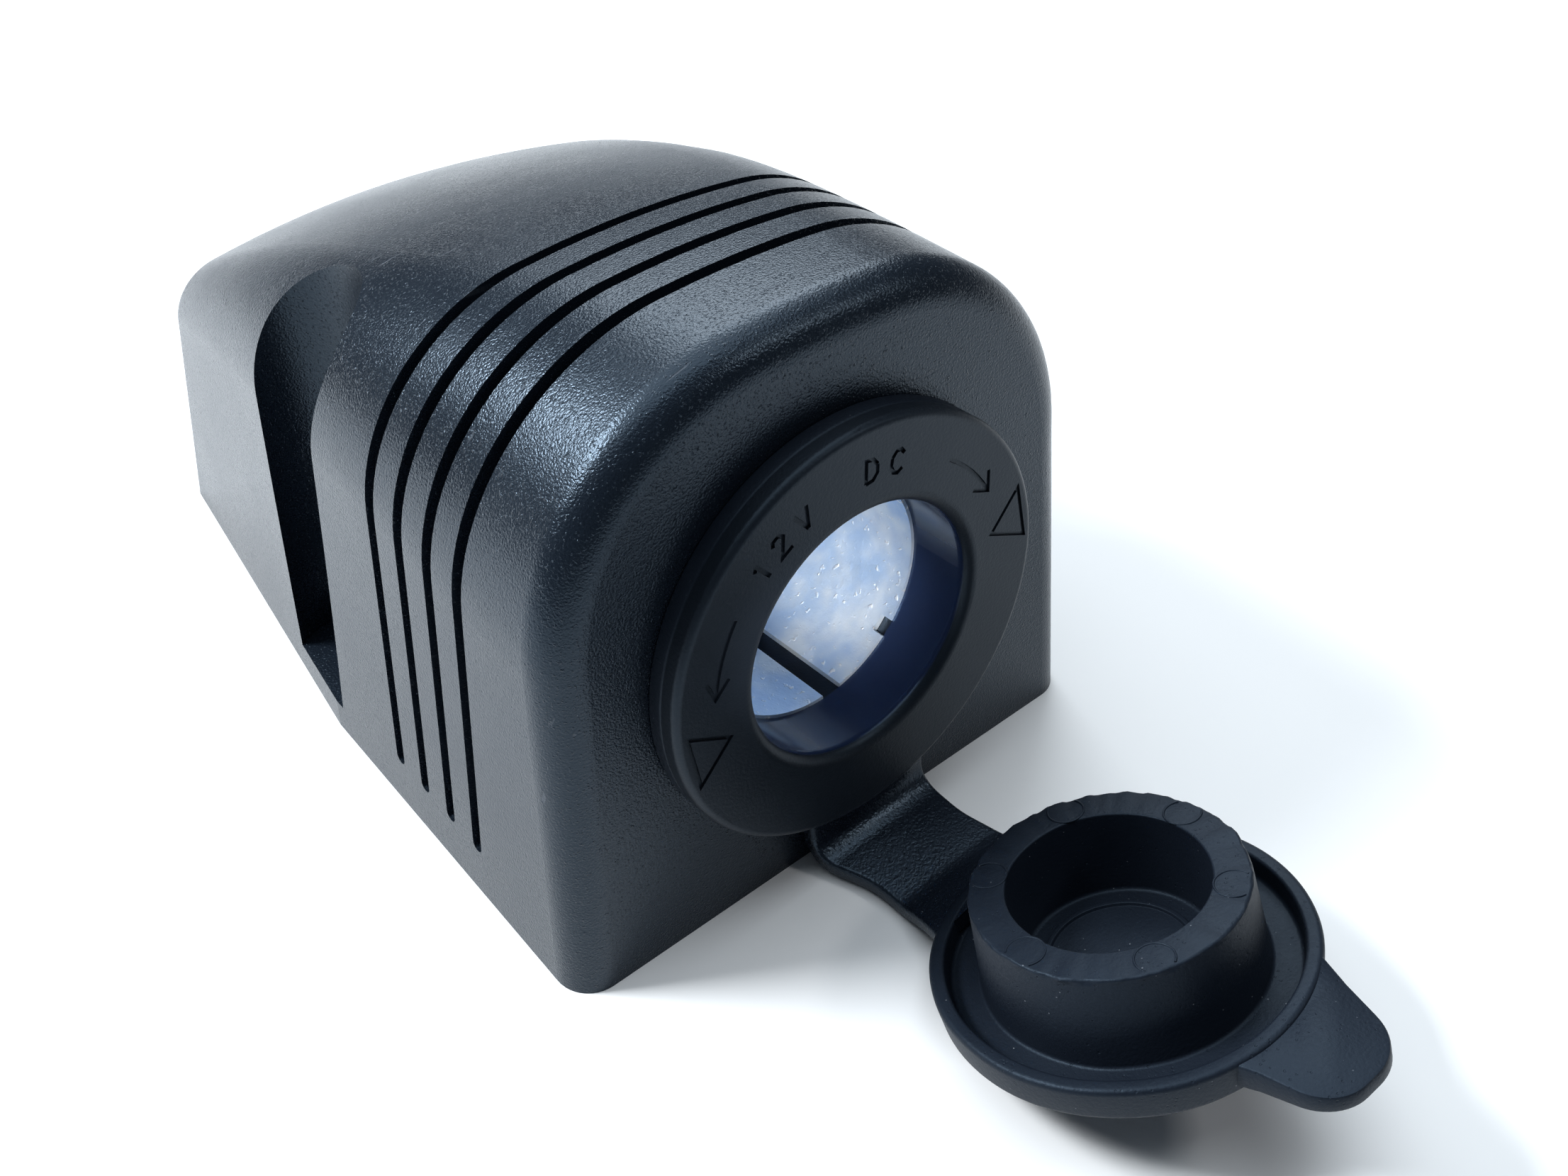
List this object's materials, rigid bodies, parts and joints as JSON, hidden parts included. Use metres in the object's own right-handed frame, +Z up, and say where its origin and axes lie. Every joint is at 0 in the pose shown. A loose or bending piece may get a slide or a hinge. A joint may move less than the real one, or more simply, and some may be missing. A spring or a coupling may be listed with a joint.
{
  "type": "surface mount power socket",
  "caption": "Low moulded arch housing with a round 12 V accessory power socket in its tilted front and a tethered rubber plug cap lying open.",
  "frame": {"origin": "midway between the two screw holes, on the plane the housing stands on", "axes": "+X to the right seen from the front, the socket faces -Y and leans 5.7 degrees up, +Z up"},
  "size_m": [0.056, 0.1262, 0.0496],
  "materials": {
    "housing_plastic": "black moulded, fine satin grain",
    "socket_plastic": "black moulded, semi-gloss",
    "nut_plastic": "black moulded",
    "sleeve_metal": "bright plated, drawn and slightly mottled",
    "insulator_board": "brown fibre board",
    "contact_brass": "turned",
    "terminal_brass": "stamped sheet",
    "steel_hardware": "zinc plated",
    "cap_rubber": "black moulded rubber, fine matt grain"
  },
  "bodies": {
    "housing": {"housing_shell": "housing_plastic", "socket_barrel": "socket_plastic", "lock_nut": "nut_plastic", "contact_sleeve": "sleeve_metal", "inner_insulator": "insulator_board", "centre_contact": "contact_brass", "rear_insulator": "insulator_board", "positive_terminal": "terminal_brass", "positive_lock_washer": "steel_hardware", "positive_nut": "steel_hardware", "negative_terminal": "terminal_brass", "negative_rivet": "steel_hardware", "tether_ring": "cap_rubber"},
    "strap": {"strap_link": "cap_rubber"},
    "strap_tip": {"strap_end": "cap_rubber"},
    "cap": {"cap": "cap_rubber"}
  },
  "joints": [
    {"name": "strap_swing", "type": "hinge", "parent": "housing", "child": "strap", "pos_m": [0.0012, -0.0453, 0.0039], "axis": [-0.9874, -0.1131, -0.1109], "range_deg": [0, 51.68]},
    {"name": "cap_fold", "type": "hinge", "parent": "strap", "child": "strap_tip", "pos_m": [0.00273, -0.05238, 0.00203], "axis": [-0.9874, -0.1131, -0.1109], "range_deg": [0, 23.92]},
    {"name": "cap_press", "type": "slide", "parent": "strap_tip", "child": "cap", "axis": [-0.0425, 0.3515, 0.9352], "range_m": [0, 0.00676]}
  ],
  "couplings": [
    {"joint": "cap_fold", "follows": "strap_swing", "ratio": 0.46242}
  ]
}
